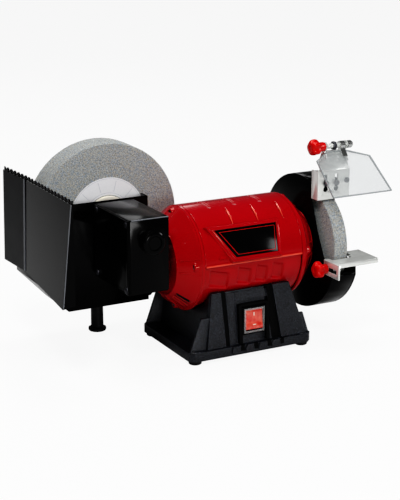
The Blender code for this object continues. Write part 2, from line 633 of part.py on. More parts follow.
def lobed_knob(centre, span, radius, bore, bore_from):
    """Star grip with five lobes on a round collar, bored for its bolt."""
    outline = []
    points = 30
    for i in range(points):
        angle = 2 * math.pi * i / points
        swing = radius * (0.9 + 0.1 * math.cos(5 * angle))
        outline.append((centre[0] + swing * math.cos(angle), centre[1] + swing * math.sin(angle)))
    start, end = span
    narrow = [(centre[0] + (u - centre[0]) * 0.86, centre[1] + (v - centre[1]) * 0.86)
              for u, v in outline]
    middle = start + 0.62 * (end - start)
    sections = [[(along, u, v) for u, v in loop]
                for along, loop in ((start, narrow), (start + 2, outline), (middle - 2, outline),
                                    (middle, narrow))]
    collar = rod("X", centre, (middle - 0.5, end), radius * 0.55, 16)
    return loft(sections), collar, rod("X", centre, (bore_from, end + 5), bore, 12)


def make_dry_rest(machine):
    machine.pivot("rest_slide", (150.0, *REST_BOLT))
    table = box((150, 216), (-98, -52), REST_PLATE_Z)
    lip = box((150, 216), (-98, -95), (109.5, 114))
    notch = box((156.5, 187.5), (-78.5, -40), (100, 130))
    guard_side = box((140, 192.5), (-70, -40), (100, 130))
    leg = box((148, 150.5), (REST_FRONT_Y, -64), (96, 116))
    slot_low, slot_high = REST_BOLT[1] - 3.1, REST_BOLT[1] + 3.1
    slot = box((140, 160), (-101, -68), (slot_low, slot_high))
    machine.part("dry_tool_rest", table, "steel", "rest_slide",
                 steps=[("+", [lip, leg]), ("-", [notch, guard_side, slot])])
    bolt = turned("X", REST_BOLT, [(136, 0), (136, 2.8), (154.2, 2.8), (154.2, 6), (156, 6),
                                   (157, 3), (157, 0)], 12)
    machine.part("rest_bolt", bolt, "steel", smooth=True)
    machine.pivot("rest_knob_axis", (140.0, *REST_BOLT))
    grip, collar, bore = lobed_knob(REST_BOLT, (129, 147.7), 12.5, 3.2, 135.5)
    machine.part("rest_knob", grip, "red_plastic", "rest_knob_axis",
                 steps=[("+", [collar]), ("-", [bore])])


def shield_point(along, lift, x):
    """Point on the sloped eye shield: distance up the slope and height over its back face."""
    y, z = SHIELD_LOW_EDGE
    cos, sin = math.cos(SHIELD_SLOPE), math.sin(SHIELD_SLOPE)
    return (x, y + along * cos - lift * sin, z + along * sin + lift * cos)


def sloped_plate(outline, lifts):
    return loft([[shield_point(along, lift, x) for x, along in outline] for lift in lifts])


def make_eye_shield(machine):
    bolt = SHIELD_BOLT
    machine.pivot("shield_mount", (150.0, -45.0, 200.0))
    front = box((152, 202), (-45.5, -43.7), (190, 231))
    flank = box((152, 153.7), (-45.5, -30), (190, 229))
    upper = sloped_plate([(155, 43.5), (200, 43.5), (203.5, 74), (169.5, 74), (156, 56)],
                         (-6.4, -4.8))
    ear = [(-39.5, 238), (-26, 253.5), (-27, 263), (-34, 265), (-39, 260), (-37, 257), (-33.2, 252.5),
           (-35.5, 247)]
    ears = [prism("X", (x, x + 1.8), ear) for x in (169.5, 201.7)]
    slots = [rod("Y", (x, 204), (-50, -40), 3.6, 12) for x in BRACKET_SLOTS_X]
    slots += [box((x - 2.3, x + 2.3), (-50, -40), (204, 224)) for x in BRACKET_SLOTS_X]
    rivet = turned("Y", BRACKET_RIVET, [(-47.9, 0), (-47.9, 2.2), (-47, 3.5), (-45.2, 3.5),
                                        (-45.2, 0)], 10)
    bolt_hole = rod("X", bolt, (160, 215), 3.2, 12)
    machine.part("shield_bracket", front, "zinc", "shield_mount",
                 steps=[("+", [flank, upper, rivet] + ears), ("-", slots + [bolt_hole])])
    for number, x in enumerate(BRACKET_SLOTS_X, start=1):
        screw = turned("Y", (x, BRACKET_SCREW_Z), [(-49, 0), (-49, 2.6), (-48.2, 3.8), (-45.8, 3.8),
                                                       (-45.8, 1.8), (-37, 1.8), (-37, 0)], 10)
        machine.part(f"bracket_screw_{number}", screw, "dark_steel", smooth=True)
    stud = turned("X", bolt, [(158, 0), (158, 2.9), (204.5, 2.9), (204.5, 5.2), (210, 5.2), (212, 3.5),
                              (212, 0)], 12)
    machine.part("shield_bolt", stud, "steel", "shield_mount", smooth=True)
    machine.pivot("shield_knob_axis", (160.0, *bolt))
    grip, collar, bore = lobed_knob(bolt, (147, 168.8), 12.0, 3.2, 157.5)
    machine.part("shield_knob", grip, "red_plastic", "shield_knob_axis",
                 steps=[("+", [collar]), ("-", [bore])])

    machine.pivot("shield_axis", (150.0, *bolt))
    pane = [(153.5, 0), (SHIELD_RIGHT_X, 0), (235, 56), (208, 66), (199, 69), (173, 69),
            (167, 66), (150.5, 57)]
    machine.part("eye_shield", sloped_plate(pane, (0, 2.2)), "clear_plastic", "shield_axis")
    ring = tube("X", bolt, (192, 199), 5.4, 3.3, 20)
    strip = sloped_plate([(192, 58), (199, 58), (199, 74), (192, 74)], (2.5, 3.9))
    machine.part("shield_strap", ring, "steel", "shield_axis",
                 steps=[("+", [strip]), ("-", [rod("X", bolt, (190, 201), 3.3, 20)])])


def main():
    clear_scene()
    machine = Machine()
    make_base(machine)
    make_switch(machine)
    make_motor(machine)
    make_worm(machine)
    make_wet_wheel(machine)
    make_worm_wheel(machine)
    make_gearbox(machine)
    make_tank(machine)
    make_rest_plate(machine)
    make_guard(machine)
    make_dry_wheel(machine)
    make_dry_rest(machine)
    make_eye_shield(machine)


main()
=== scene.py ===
"""Looks of a wet and dry bench grinder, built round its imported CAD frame.

Shapes are written in the machine's own millimetres: X runs along the motor shaft, Y points to
the back, Z points up from the floor, and y = 0 is the motor shaft.  The frame's base and shaft
say where that is.
"""
import json
import math

import bmesh
import bpy
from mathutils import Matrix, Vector

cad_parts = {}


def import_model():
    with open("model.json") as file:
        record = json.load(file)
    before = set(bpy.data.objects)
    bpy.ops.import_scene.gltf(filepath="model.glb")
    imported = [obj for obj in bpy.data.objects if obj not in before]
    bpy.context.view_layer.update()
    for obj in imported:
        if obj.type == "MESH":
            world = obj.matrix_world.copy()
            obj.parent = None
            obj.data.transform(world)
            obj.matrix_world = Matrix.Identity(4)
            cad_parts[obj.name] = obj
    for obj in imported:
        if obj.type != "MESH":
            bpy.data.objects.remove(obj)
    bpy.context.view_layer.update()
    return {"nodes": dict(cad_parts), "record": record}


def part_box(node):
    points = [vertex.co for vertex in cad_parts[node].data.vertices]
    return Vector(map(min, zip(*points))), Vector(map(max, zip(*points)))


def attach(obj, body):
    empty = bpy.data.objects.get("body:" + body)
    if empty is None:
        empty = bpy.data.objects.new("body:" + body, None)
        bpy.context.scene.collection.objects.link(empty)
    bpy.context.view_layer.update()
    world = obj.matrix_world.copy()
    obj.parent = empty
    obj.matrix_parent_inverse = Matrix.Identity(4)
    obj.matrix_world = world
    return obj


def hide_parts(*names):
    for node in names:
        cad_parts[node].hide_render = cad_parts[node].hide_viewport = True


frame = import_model()
NODES = frame["nodes"]

MM = 0.001
BASE_MID_X = 40.0                     # the base's middle, in machine millimetres
SHARP_ANGLE = 32                      # degrees between faces from which an edge counts as sharp
AXIS_INDEX = {"X": 0, "Y": 1, "Z": 2}


def middle(node):
    low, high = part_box(node)
    return (low + high) / 2


SHAFT = middle("motor_shaft")
ORIGIN = Vector((middle("base_stand").x - BASE_MID_X * MM, SHAFT.y, 0.0))
SHAFT_Z = SHAFT.z / MM


def world(point):
    return ORIGIN + Vector(point) * MM


def machine(node):
    """Lowest and highest corner of a CAD node, in machine millimetres."""
    return [(corner - ORIGIN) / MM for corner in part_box(node)]


# Materials ----------------------------------------------------------------------------------
class Finish:
    """A Principled material and the few node chains that this scene puts on it."""

    def __init__(self, name, **sockets):
        self.material = bpy.data.materials.new(name)
        self.material.use_nodes = True
        self.nodes = self.material.node_tree.nodes
        self.links = self.material.node_tree.links
        self.shader = self.nodes["Principled BSDF"]
        for socket, value in sockets.items():
            self.shader.inputs[socket.replace("_", " ")].default_value = value
        self.where = self.nodes.new("ShaderNodeTexCoord").outputs["Object"]

    def stretched(self, scale):
        mapping = self.nodes.new("ShaderNodeMapping")
        mapping.inputs["Scale"].default_value = scale
        self.links.new(self.where, mapping.inputs["Vector"])
        return mapping.outputs["Vector"]

    def noise(self, scale, detail=3.0, roughness=0.55, vector=None):
        node = self.nodes.new("ShaderNodeTexNoise")
        node.inputs["Scale"].default_value = scale
        node.inputs["Detail"].default_value = detail
        node.inputs["Roughness"].default_value = roughness
        self.links.new(vector or self.where, node.inputs["Vector"])
        return node.outputs["Fac"]

    def ramp(self, factor, stops, socket="Base Color"):
        node = self.nodes.new("ShaderNodeValToRGB")
        elements = node.color_ramp.elements
        while len(elements) < len(stops):
            elements.new(0.5)
        for element, (place, colour) in zip(elements, stops):
            element.position = place
            element.color = (*colour, 1.0)
        self.links.new(factor, node.inputs["Fac"])
        if socket:
            self.links.new(node.outputs["Color"], self.shader.inputs[socket])
        return node.outputs["Color"]

    def rough(self, factor, low, high):
        node = self.nodes.new("ShaderNodeMapRange")
        node.inputs["To Min"].default_value = low
        node.inputs["To Max"].default_value = high
        self.links.new(factor, node.inputs["Value"])
        self.links.new(node.outputs["Result"], self.shader.inputs["Roughness"])

    def bump(self, factor, strength, distance):
        node = self.nodes.new("ShaderNodeBump")
        node.inputs["Strength"].default_value = strength
        node.inputs["Distance"].default_value = distance
        self.links.new(factor, node.inputs["Height"])
        self.links.new(node.outputs["Normal"], self.shader.inputs["Normal"])


def red_paint():
    made = Finish("gloss_red_paint", Coat_Weight=0.22, Coat_Roughness=0.08, Specular_IOR_Level=0.42,
                  Specular_Tint=(1.0, 0.38, 0.22, 1.0))
    made.ramp(made.noise(9), [(0.3, (0.34, 0.0005, 0.008)), (0.7, (0.41, 0.001, 0.012))])
    made.rough(made.noise(38), 0.13, 0.2)
    made.bump(made.noise(420, 2), 0.02, 0.0002)
    return made.material


def highlight_red():
    """The same paint made lighter and peach-tinted: a painted highlight along raised edges."""
    made = Finish("painted_highlight_paint", Coat_Weight=0.9, Coat_Roughness=0.1,
                  Specular_Tint=(1.0, 0.5, 0.35, 1.0))
    made.ramp(made.noise(40), [(0.3, (0.60, 0.03, 0.02)), (0.7, (0.76, 0.10, 0.065))])
    made.rough(made.noise(60), 0.16, 0.26)
    made.bump(made.noise(420, 2), 0.02, 0.0002)
    return made.material


def black_paint(name, tone, low, high, grain=900, strength=0.035):
    made = Finish(name, Specular_IOR_Level=0.16)
    made.ramp(made.noise(12), [(0.3, (tone * 0.8, tone * 0.82, tone * 0.88)),
                               (0.7, (tone * 1.15, tone * 1.2, tone * 1.3))])
    made.rough(made.noise(45), low, high)
    made.bump(made.noise(grain, 2), strength, 0.0003)
    return made.material


def grained_plastic():
    """Moulded plastic with the fine leather-like grain of a spark-eroded tool."""
    made = Finish("grained_base_plastic", Specular_IOR_Level=0.55)
    made.ramp(made.noise(620, 2), [(0.42, (0.003, 0.0035, 0.005)), (0.66, (0.024, 0.028, 0.038))])
    made.rough(made.noise(300), 0.28, 0.44)
    made.bump(made.noise(620, 2, 0.7), 0.7, 0.0009)
    return made.material


def abrasive(name, dark, mid, light):
    """Bonded grains: grey with some dark, blue and brown ones, and open pores."""
    made = Finish(name, Specular_IOR_Level=0.25)
    grains = made.noise(700, 4, 0.85)
    base = made.ramp(grains, [(0.36, dark), (0.5, mid), (0.64, light)], socket=None)
    tint = made.ramp(made.noise(420, 3, 0.9), [(0.38, (0.55, 0.7, 0.95)), (0.5, (1.0, 1.0, 1.0)),
                                               (0.63, (1.0, 0.86, 0.68))], socket=None)
    mix = made.nodes.new("ShaderNodeMix")
    mix.data_type = "RGBA"
    mix.blend_type = "MULTIPLY"
    mix.inputs["Factor"].default_value = 0.75
    made.links.new(base, mix.inputs["A"])
    made.links.new(tint, mix.inputs["B"])
    made.links.new(mix.outputs["Result"], made.shader.inputs["Base Color"])
    made.rough(grains, 0.82, 0.98)
    made.bump(grains, 0.8, 0.0007)
    return made.material


def metal(name, tone, low, high, brush=(30, 900, 900), strength=0.06):
    made = Finish(name, Metallic=1.0)
    streaks = made.noise(1.0, 4, 0.6, made.stretched(brush))
    made.ramp(streaks, [(0.3, tuple(c * 0.86 for c in tone)), (0.7, tone)])
    made.rough(streaks, low, high)
    made.bump(streaks, strength, 0.0002)
    return made.material


def zinc_plate():
    made = Finish("zinc_plate", Metallic=0.55)
    made.ramp(made.noise(60, 4), [(0.3, (0.80, 0.82, 0.79)), (0.7, (0.90, 0.91, 0.88))])
    made.rough(made.noise(140), 0.18, 0.28)
    made.bump(made.noise(500, 2), 0.03, 0.0001)
    return made.material


def rubber():
    made = Finish("moulded_rubber", Specular_IOR_Level=0.4)
    made.ramp(made.noise(160), [(0.3, (0.010, 0.010, 0.011)), (0.7, (0.024, 0.024, 0.025))])
    made.rough(made.noise(210), 0.45, 0.68)
    made.bump(made.noise(1300), 0.2, 0.0003)
    return made.material


def knob_red():
    made = Finish("knob_red_plastic", Coat_Weight=0.12, Coat_Roughness=0.15,
                  Specular_Tint=(1.0, 0.4, 0.3, 1.0))
    made.ramp(made.noise(60), [(0.3, (0.50, 0.002, 0.004)), (0.7, (0.64, 0.006, 0.008))])
    made.rough(made.noise(150), 0.26, 0.42)
    made.bump(made.noise(900), 0.08, 0.0003)
    return made.material


def rocker_red():
    made = Finish("rocker_clear_red", Transmission_Weight=0.25, IOR=1.49, Coat_Weight=0.8)
    made.ramp(made.noise(130), [(0.35, (0.78, 0.03, 0.02)), (0.65, (0.95, 0.16, 0.10))])
    made.rough(made.noise(200), 0.12, 0.25)
    made.bump(made.noise(240, 1), 0.25, 0.0008)
    return made.material


def soft_white(name, low, high, bump=0.12):
    made = Finish(name, Specular_IOR_Level=0.35)
    made.ramp(made.noise(260, 4), [(0.3, low), (0.7, high)])
    made.rough(made.noise(90), 0.5, 0.72)
    made.bump(made.noise(1200), bump, 0.0002)
    return made.material


def label_paper():
    """Blotter paper with plain printed rings and no lettering."""
    made = Finish("blotter_paper", Specular_IOR_Level=0.2)
    fibres = made.noise(700, 5, 0.7)
    made.ramp(fibres, [(0.3, (0.86, 0.86, 0.88)), (0.7, (0.92, 0.92, 0.94))])
    made.rough(made.noise(300), 0.7, 0.9)
    made.bump(fibres, 0.12, 0.0002)
    return made.material


def clear_sheet(name, tone, alpha):
    made = Finish(name, IOR=1.49, Alpha=alpha, Specular_IOR_Level=0.6)
    made.ramp(made.noise(14), [(0.3, tuple(c * 0.97 for c in tone)), (0.7, tone)])
    made.rough(made.noise(30), 0.05, 0.12)
    made.bump(made.noise(25, 1), 0.04, 0.001)
    return made.material


def wound_copper():
    made = Finish("enamelled_windings", Metallic=0.9)
    wires = made.noise(1.0, 2, 0.5, made.stretched((90, 1400, 1400)))
    made.ramp(wires, [(0.35, (0.36, 0.12, 0.04)), (0.65, (0.62, 0.26, 0.1))])
    made.rough(wires, 0.25, 0.45)
    made.bump(wires, 0.4, 0.0005)
    return made.material


FINISH = {
    "red_paint": red_paint(),
    "black_plastic": black_paint("gloss_black_housing", 0.0025, 0.14, 0.22),
    "base_plastic": grained_plastic(),
    "guard_paint": black_paint("guard_black_paint", 0.003, 0.16, 0.26),
    # Near-black and dull: painted shade in the bell vent slots, the flange gaps and the pillar channels;
    # also on the cheeks and brow round the switch's recess.
    "recess": black_paint("painted_recess_shade", 0.002, 0.45, 0.65),
    # Black about five times lighter: painted light on the serrated plate's far end strip.
    "lit_strip_black": black_paint("painted_lit_strip", 0.013, 0.3, 0.4),
    "stone": abrasive("grey_abrasive", (0.12, 0.125, 0.13), (0.36, 0.37, 0.355), (0.74, 0.76, 0.74)),
    "steel": metal("bright_steel", (0.66, 0.67, 0.66), 0.16, 0.3),
    "dark_steel": metal("dull_steel", (0.1, 0.1, 0.11), 0.34, 0.5),
    "zinc": zinc_plate(),
    "copper": wound_copper(),
    "bronze": metal("machined_bronze", (0.58, 0.4, 0.17), 0.24, 0.4),
    "rubber": rubber(),
    "red_plastic": knob_red(),
    "switch_red": rocker_red(),
    "cream_plastic": soft_white("cream_washer", (0.86, 0.80, 0.68), (0.93, 0.88, 0.77)),
    "paper": label_paper(),
    "print": soft_white("pale_print", (0.42, 0.44, 0.52), (0.55, 0.57, 0.64)),
    "clear_plastic": clear_sheet("clear_visor_sheet", (0.50, 0.53, 0.54), 0.22),
    "visor_edge": clear_sheet("visor_cut_edge", (0.36, 0.39, 0.40), 0.7),
    "switch_cover": clear_sheet("switch_splash_cover", (0.7, 0.68, 0.68), 0.22),
    "highlight_red": highlight_red(),
    # Light grey on the black: painted highlights along the gearbox edges and the plate's bead and near
    # edge.
    "painted_edge_shine": black_paint("painted_edge_highlight_grey", 0.16, 0.18, 0.26),
}


# Mesh helpers: each returns (points in machine millimetres, faces) -----------------------------
def in_space(axis, along, u, v):
    point = [u, v]
    point.insert(AXIS_INDEX[axis], along)
    return tuple(point)


def circle(radius, count, centre=(0.0, 0.0), start=0.0):
    step = 2 * math.pi / count
    return [(centre[0] + radius * math.cos(start + step * i),
             centre[1] + radius * math.sin(start + step * i)) for i in range(count)]


def loft(sections):
    count = len(sections[0])
    points = [p for section in sections for p in section]
    faces = []
    for ring in range(len(sections) - 1):
        for i in range(count):
            j = (i + 1) % count
            a, b = ring * count, (ring + 1) * count
            faces.append((a + i, a + j, b + j, b + i))
    faces.append(tuple(reversed(range(count))))
    faces.append(tuple(range((len(sections) - 1) * count, len(sections) * count)))
    return points, faces


def closed_rings(rings):
    """Torus-like mesh: each ring joins the next, and the last joins the first."""
    count = len(rings[0])
    points = [p for ring in rings for p in ring]
    faces = []
    for r in range(len(rings)):
        a, b = r * count, ((r + 1) % len(rings)) * count
        for i in range(count):
            j = (i + 1) % count
            faces.append((a + i, a + j, b + j, b + i))
    return points, faces


def prism(axis, span, outline):
    return loft([[in_space(axis, along, u, v) for u, v in outline] for along in span])


def box(x, y, z):
    return prism("Z", z, [(x[0], y[0]), (x[1], y[0]), (x[1], y[1]), (x[0], y[1])])


def turned(axis, centre, profile, count=48):
    """Solid, or a ring if the profile stays clear of the axis, from (along, radius) points."""
    solid = profile[0][1] == 0
    inner = profile[1:-1] if solid else profile
    rings = [[in_space(axis, along, *p) for p in circle(radius, count, centre)]
             for along, radius in inner]
    return loft(rings) if solid else closed_rings(rings)


def joined(*shapes):
    points, faces = [], []
    for shape_points, shape_faces in shapes:
        start = len(points)
        points.extend(shape_points)
        faces.extend(tuple(start + i for i in face) for face in shape_faces)
    return points, faces


def piece(name, shape, finish, body="frame", stands_for=(), bevel=0.0, sharp=SHARP_ANGLE):
    """A new visible piece, with soft edges, that rides on a CAD body."""
    points, faces = shape
    mesh = bpy.data.meshes.new(name)
    mesh.from_pydata([world(p) for p in points], [], faces)
    bm = bmesh.new()
    bm.from_mesh(mesh)
    bmesh.ops.recalc_face_normals(bm, faces=bm.faces)
    bm.to_mesh(mesh)
    bm.free()
    mesh.materials.append(FINISH[finish])
    mesh.shade_smooth()
    mesh.set_sharp_from_angle(angle=math.radians(sharp))
    made = bpy.data.objects.new(name, mesh)
    bpy.context.scene.collection.objects.link(made)
    if bevel:
        soften(made, bevel)
    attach(made, body)
    if stands_for:
        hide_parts(*stands_for)
    return made


def soften(made, width):
    bevel = made.modifiers.new("edges", "BEVEL")
    bevel.width = width * MM
    bevel.segments = 2
    bevel.limit_method = "ANGLE"
    bevel.angle_limit = math.radians(SHARP_ANGLE)
    bevel.harden_normals = True


# Carried-over CAD nodes -----------------------------------------------------------------------
def dress(node, finish, bevel=0.0):
    """Gives a CAD node its finish and soft edges, without touching its own vertices."""
    made = NODES[node]
    made.data.materials.clear()
    made.data.materials.append(FINISH[finish])
    weld = made.modifiers.new("weld", "WELD")
    weld.merge_threshold = 0.002 * MM
    made.data.shade_smooth()
    if bevel:
        soften(made, bevel)
    else:
        split = made.modifiers.new("creases", "EDGE_SPLIT")
        split.split_angle = math.radians(SHARP_ANGLE)


def dress_all():
    slots = {row["node"]: row["material_slot"] for row in frame["record"]["subparts"]}
    bevels = {"base_stand": 0.9, "gearbox_housing": 1.1, "gearbox_cover": 0.5, "water_tank": 0.8,
              "switch_frame": 0.8, "badge_plate": 0.4, "dry_tool_rest": 0.5, "shield_bracket": 0.3,
              "guard_body": 0.5, "guard_cover": 0.5, "base_bottom_plate": 0.3}
    brighter = {"dry_tool_rest": "zinc"}
    for node, slot in slots.items():
        dress(node, brighter.get(node, slot), bevels.get(node, 0.0))


# Motor ----------------------------------------------------------------------------------------
SHELL_LOW, SHELL_HIGH = machine("motor_shell")
SHELL_R = (SHELL_HIGH.z - SHELL_LOW.z) / 2
SHELL_X = (SHELL_LOW.x, SHELL_HIGH.x)
CREASE = 88.0                         # degrees from the top, on the front and on the back
STEP = 3.0                            # how far the skin steps in under the crease
GROOVES_X = (22.5, 60.0, 97.5)
BADGE_TILT = 25                       # degrees, leaning back from upright


def smooth(value, start, end):
    t = min(1.0, max(0.0, (value - start) / (end - start)))
    return t * t * (3 - 2 * t)


def dent(value, centre, half, edge):
    """1 inside a band, falling to 0 over its edge."""
    return 1.0 - smooth(abs(value - centre), half - edge, half)


def shell_radius(x, a):
    """Outer radius of the motor's skin at a place along it and an angle from its top."""
    side = abs(a)
    radius = SHELL_R - 1.0 * smooth(side, 62, CREASE - 3) + 0.7 * smooth(side, CREASE - 3, CREASE)
    radius -= STEP * smooth(side, CREASE, CREASE + 1.4)
    if side < CREASE:
        for groove_x in GROOVES_X:
            width = 1.1 + 1.5 * smooth(side, 46, 20)
            reach = smooth(side, 19, 22) * (1 - smooth(side, 43, 46))
            radius -= 1.7 * dent(x, groove_x, width, 0.7) * reach
        for notch_x in (3.0, 41.0, 79.0):
            radius -= 1.2 * dent(x, notch_x, 3.0, 1.4) * (1 - smooth(side, 12, 17))
    else:
        for pocket_x, half in ((-6.0, 15.0), (31.0, 11.0), (57.0, 9.5), (81.0, 9.5)):
            low = 105 + 0.22 * (x - pocket_x)
            radius -= 2.8 * dent(x, pocket_x, half, 3.0) * dent(side, low, 11.5, 4.0)
    return radius


def badge_inside(x, a):
    """True where the flat badge sits in the skin."""
    tilt = math.radians(a - 65.0)
    upward = SHELL_R * math.sin(-tilt)
    left = 15.3 - 24.6 * (upward + 18.8) / 37.6
    right = 76.3 + 5.0 * (upward + 18.8) / 37.6
    return abs(upward) < 18.8 and left < x < right


def make_motor_skin():
    count_a, count_x = 300, 288
    x0, x1 = SHELL_X
    rings = []
    for i in range(count_x + 1):
        x = x0 + (x1 - x0) * i / count_x
        ring = []
        for j in range(count_a):
            a = -180 + 360 * j / count_a
            radius = shell_radius(x, a)
            if badge_inside(x, a):
                radius = min(radius, 67.2 / math.cos(math.radians(a - 65.0)))
            if i in (0, count_x):
                radius -= 0.7
            t = math.radians(a)
            ring.append((x, -radius * math.sin(t), SHAFT_Z + radius * math.cos(t)))
        rings.append(ring)
    bore = SHELL_R - 7.4
    for x in (x1, x0):
        rings.append([(x, -bore * math.sin(math.radians(-180 + 360 * j / count_a)),
                       SHAFT_Z + bore * math.cos(math.radians(-180 + 360 * j / count_a)))
                      for j in range(count_a)])
    piece("motor_skin", closed_rings(rings), "red_paint",
          stands_for=["motor_shell"], sharp=80)
    # The crease ridges and the groove blades wear the lighter red: painted highlights along the crease
    # and the grooves.
    for name, sign in (("front", -1), ("back", 1)):
        t = math.radians(CREASE - 1.0)
        centre = (sign * (SHELL_R - 1.2) * math.sin(t), SHAFT_Z + (SHELL_R - 1.2) * math.cos(t))
        piece(f"skin_ridge_{name}", prism("X", (x0 + 0.8, x1 - 0.8), circle(1.4, 16, centre)),
              "highlight_red", sharp=60)
        for number, groove_x in enumerate(GROOVES_X, start=1):
            blade = []
            for k in range(19):
                t = math.radians(24 + 21 * k / 18)
                width = 1.35 * (1 - (k / 18) ** 2) + 0.15
                spine = (sign * (SHELL_R - 0.5) * math.sin(t), (SHELL_R - 0.5) * math.cos(t))
                blade.append([(groove_x + 1.5 - 0.08 * k + width * u,
                               spine[0] + width * v * sign * math.sin(t),
                               SHAFT_Z + spine[1] + width * v * math.cos(t))
                              for u, v in circle(1.0, 12)])
            piece(f"skin_blade_{name}_{number}", loft(blade), "highlight_red", sharp=60)


def make_cores():
    """Laminated stacks inside the motor, kept clear of the skin's pockets."""
    for name, node, body, outer, inner in (
            ("stator_laminations", "stator_core", "frame", 61.5, 35.6),
            ("rotor_laminations", "rotor_core", "motor_rotor", 34.4, 8.0)):
        low, high = machine(node)
        sheets = 16
        profile = [(low.x, inner)]
        for k in range(sheets):
            a = low.x + (high.x - low.x) * k / sheets
            b = low.x + (high.x - low.x) * (k + 1) / sheets
            profile += [(a + 0.05, outer), (b - 0.35, outer), (b - 0.2, outer - 0.4)]
        profile += [(high.x, outer - 0.4), (high.x, inner)]
        piece(name, turned("X", (0.0, SHAFT_Z), profile, 72), "dark_steel", body=body,
              stands_for=[node])


def badge_point(u, v, depth):
    tilt = math.radians(BADGE_TILT)
    return (u, -math.cos(tilt) * depth + math.sin(tilt) * v,
            SHAFT_Z + math.sin(tilt) * depth + math.cos(tilt) * v)


def badge_corners(grow):
    return [(15 - grow, -18.5 - grow), (76 + grow, -18.5 - grow), (81 + grow, 18.5 + grow),
            (-9 - 2 * grow, 18.5 + grow)]


def make_badge_frame():
    """Raised red frame round the badge, with a groove, and a thin red line inside the badge."""
    profile = [(0.5, 63.0), (0.5, 71.4), (1.6, 71.9), (2.8, 71.4), (3.3, 70.3), (4.2, 70.6), (5.4, 70.2),
               (6.6, 66.0), (6.6, 63.0)]
    rings = [[badge_point(u, v, depth) for u, v in badge_corners(grow)] for grow, depth in profile]
    piece("badge_frame", closed_rings(rings), "red_paint", bevel=0.3)
    line = [(-3.2, 70.6), (-3.2, 71.15), (-2.6, 71.15), (-2.6, 70.6)]
    rings = [[badge_point(u, v, depth) for u, v in badge_corners(grow)] for grow, depth in line]
    piece("badge_line", closed_rings(rings), "red_plastic")


def cap_radius(along, a, base):
    """End bell: a cone with soft facets."""
    facet = 1.1 * abs(math.sin(math.radians(a * 4)))
    fade = smooth(along, 4, 12)
    radius = base - facet * fade
    return radius


GEARBOX_RIGHT = -71.0                 # its right edge, short of the neck round the shaft
VENTS = (118, 126, 134, 208, 216, 224)


def make_cap(name, side):
    node = "end_cap_" + name
    half = (SHELL_X[1] - SHELL_X[0]) / 2
    mid = sum(SHELL_X) / 2
    count = 240
    profile = [(0.3, 66.8), (0.3, 68.6), (1.0, SHELL_R - 0.1), (4.0, SHELL_R - 0.1), (4.6, 68.4),
               (5.2, 68.4), (5.8, SHELL_R - 1.0)]
    steps = 26
    for i in range(1, steps + 1):
        along = 5.8 + 23.4 * i / steps
        profile.append((along, SHELL_R - 1.0 - 21.6 * (i / steps) ** 1.12))
    profile += [(29.9, 46.0), (29.9, 44.5), (28.8, 43.5), (28.8, 23.0), (29.9, 22.0), (29.9, 8.6),
                (26.5, 8.6), (26.5, 18.0), (6.0, 62.0)]
    rings = []
    for along, base in profile:
        ring = []
        for j in range(count):
            a = 360 * j / count
            radius = base
            if 6.0 < along < 29.5 and base > 44:
                radius = cap_radius(along, a, base)
                for vent in VENTS:
                    reach = smooth(along, 9, 11) * (1 - smooth(along, 24, 26))
                    radius -= 3.2 * dent(a, vent, 2.0, 0.9) * reach
            t = math.radians(a)
            ring.append((mid + side * (half + along), radius * math.sin(t),
                         SHAFT_Z + radius * math.cos(t)))
        rings.append(ring)
    made = piece("end_bell_" + name, closed_rings(rings), "red_paint",
                 stands_for=[node], sharp=40)
    # The vent slots' faces take the near-black recess finish: painted shade in the slots.
    made.data.materials.append(FINISH["recess"])
    for polygon in made.data.polygons:
        centre = (polygon.center - ORIGIN) / MM
        along = side * (centre.x - mid) - half
        a = math.degrees(math.atan2(centre.y, centre.z - SHAFT_Z)) % 360
        if 10.5 < along < 24.5 and any(abs(a - vent) < 1.3 for vent in VENTS):
            if math.hypot(centre.y, centre.z - SHAFT_Z) > 43:
                polygon.material_index = 1
    for number, angle in enumerate((4, 94, 184, 274), start=1):
        t = math.radians(angle)
        centre = (60 * math.sin(t), SHAFT_Z + 60 * math.cos(t))
        at = [mid + side * (half + d) for d in (5, 12.5, 14.0, 14.0, 12.2, 12.2)]
        for wing in (-9, 9):
            lean = math.radians(angle + wing)
            rib = []
            for along, r_low, r_high in ((6.5, 56, 68.6), (27.0, 40, 50.4)):
                ring = []
                for radius, off in ((r_low, -0.9), (r_high, -0.9), (r_high, 0.9), (r_low, 0.9)):
                    ring.append((mid + side * (half + along),
                                 radius * math.sin(lean) + off * math.cos(lean),
                                 SHAFT_Z + radius * math.cos(lean) - off * math.sin(lean)))
                rib.append(ring)
            piece(f"bell_rib_{name}_{number}_{'a' if wing < 0 else 'b'}", loft(rib), "red_paint",
                  bevel=0.5)
        boss = turned("X", centre, [(at[0], 0), (at[0], 7.2), (at[1], 6.6), (at[2], 5.6), (at[3], 4.4),
                                    (at[4], 4.4), (at[5], 0)], 28)
        piece(f"bell_boss_{name}_{number}", boss, "red_paint", sharp=40)
        head_x = [mid + side * (half + d) for d in (11.0, 13.4, 14.2)]
        head = turned("X", centre, [(head_x[0], 0), (head_x[0], 3.8), (head_x[1], 3.8),
                                    (head_x[2], 2.9), (head_x[2], 0)], 24)
        piece(f"bell_screw_{name}_{number}", head, "dark_steel", sharp=40)


# Pedestal -------------------------------------------------------------------------------------
def front_y(z):
    """Front face of the sloping pedestal."""
    return -67.0 + 6.0 * (z - 17.5) / 72.5


def strip_on_front(x_low, x_high, z_low, z_high, proud, depth=3.0):
    """Slab that follows the pedestal's front face; x_low and x_high are the ends of its foot and top."""
    (a0, a1), (b0, b1) = x_low, x_high
    sections = []
    for z, left, right in ((z_low, a0, a1), (z_high, b0, b1)):
        y = front_y(z)
        sections.append([(left, y - proud, z), (right, y - proud, z), (right, y + depth, z),
                         (left, y + depth, z)])
    return loft(sections)


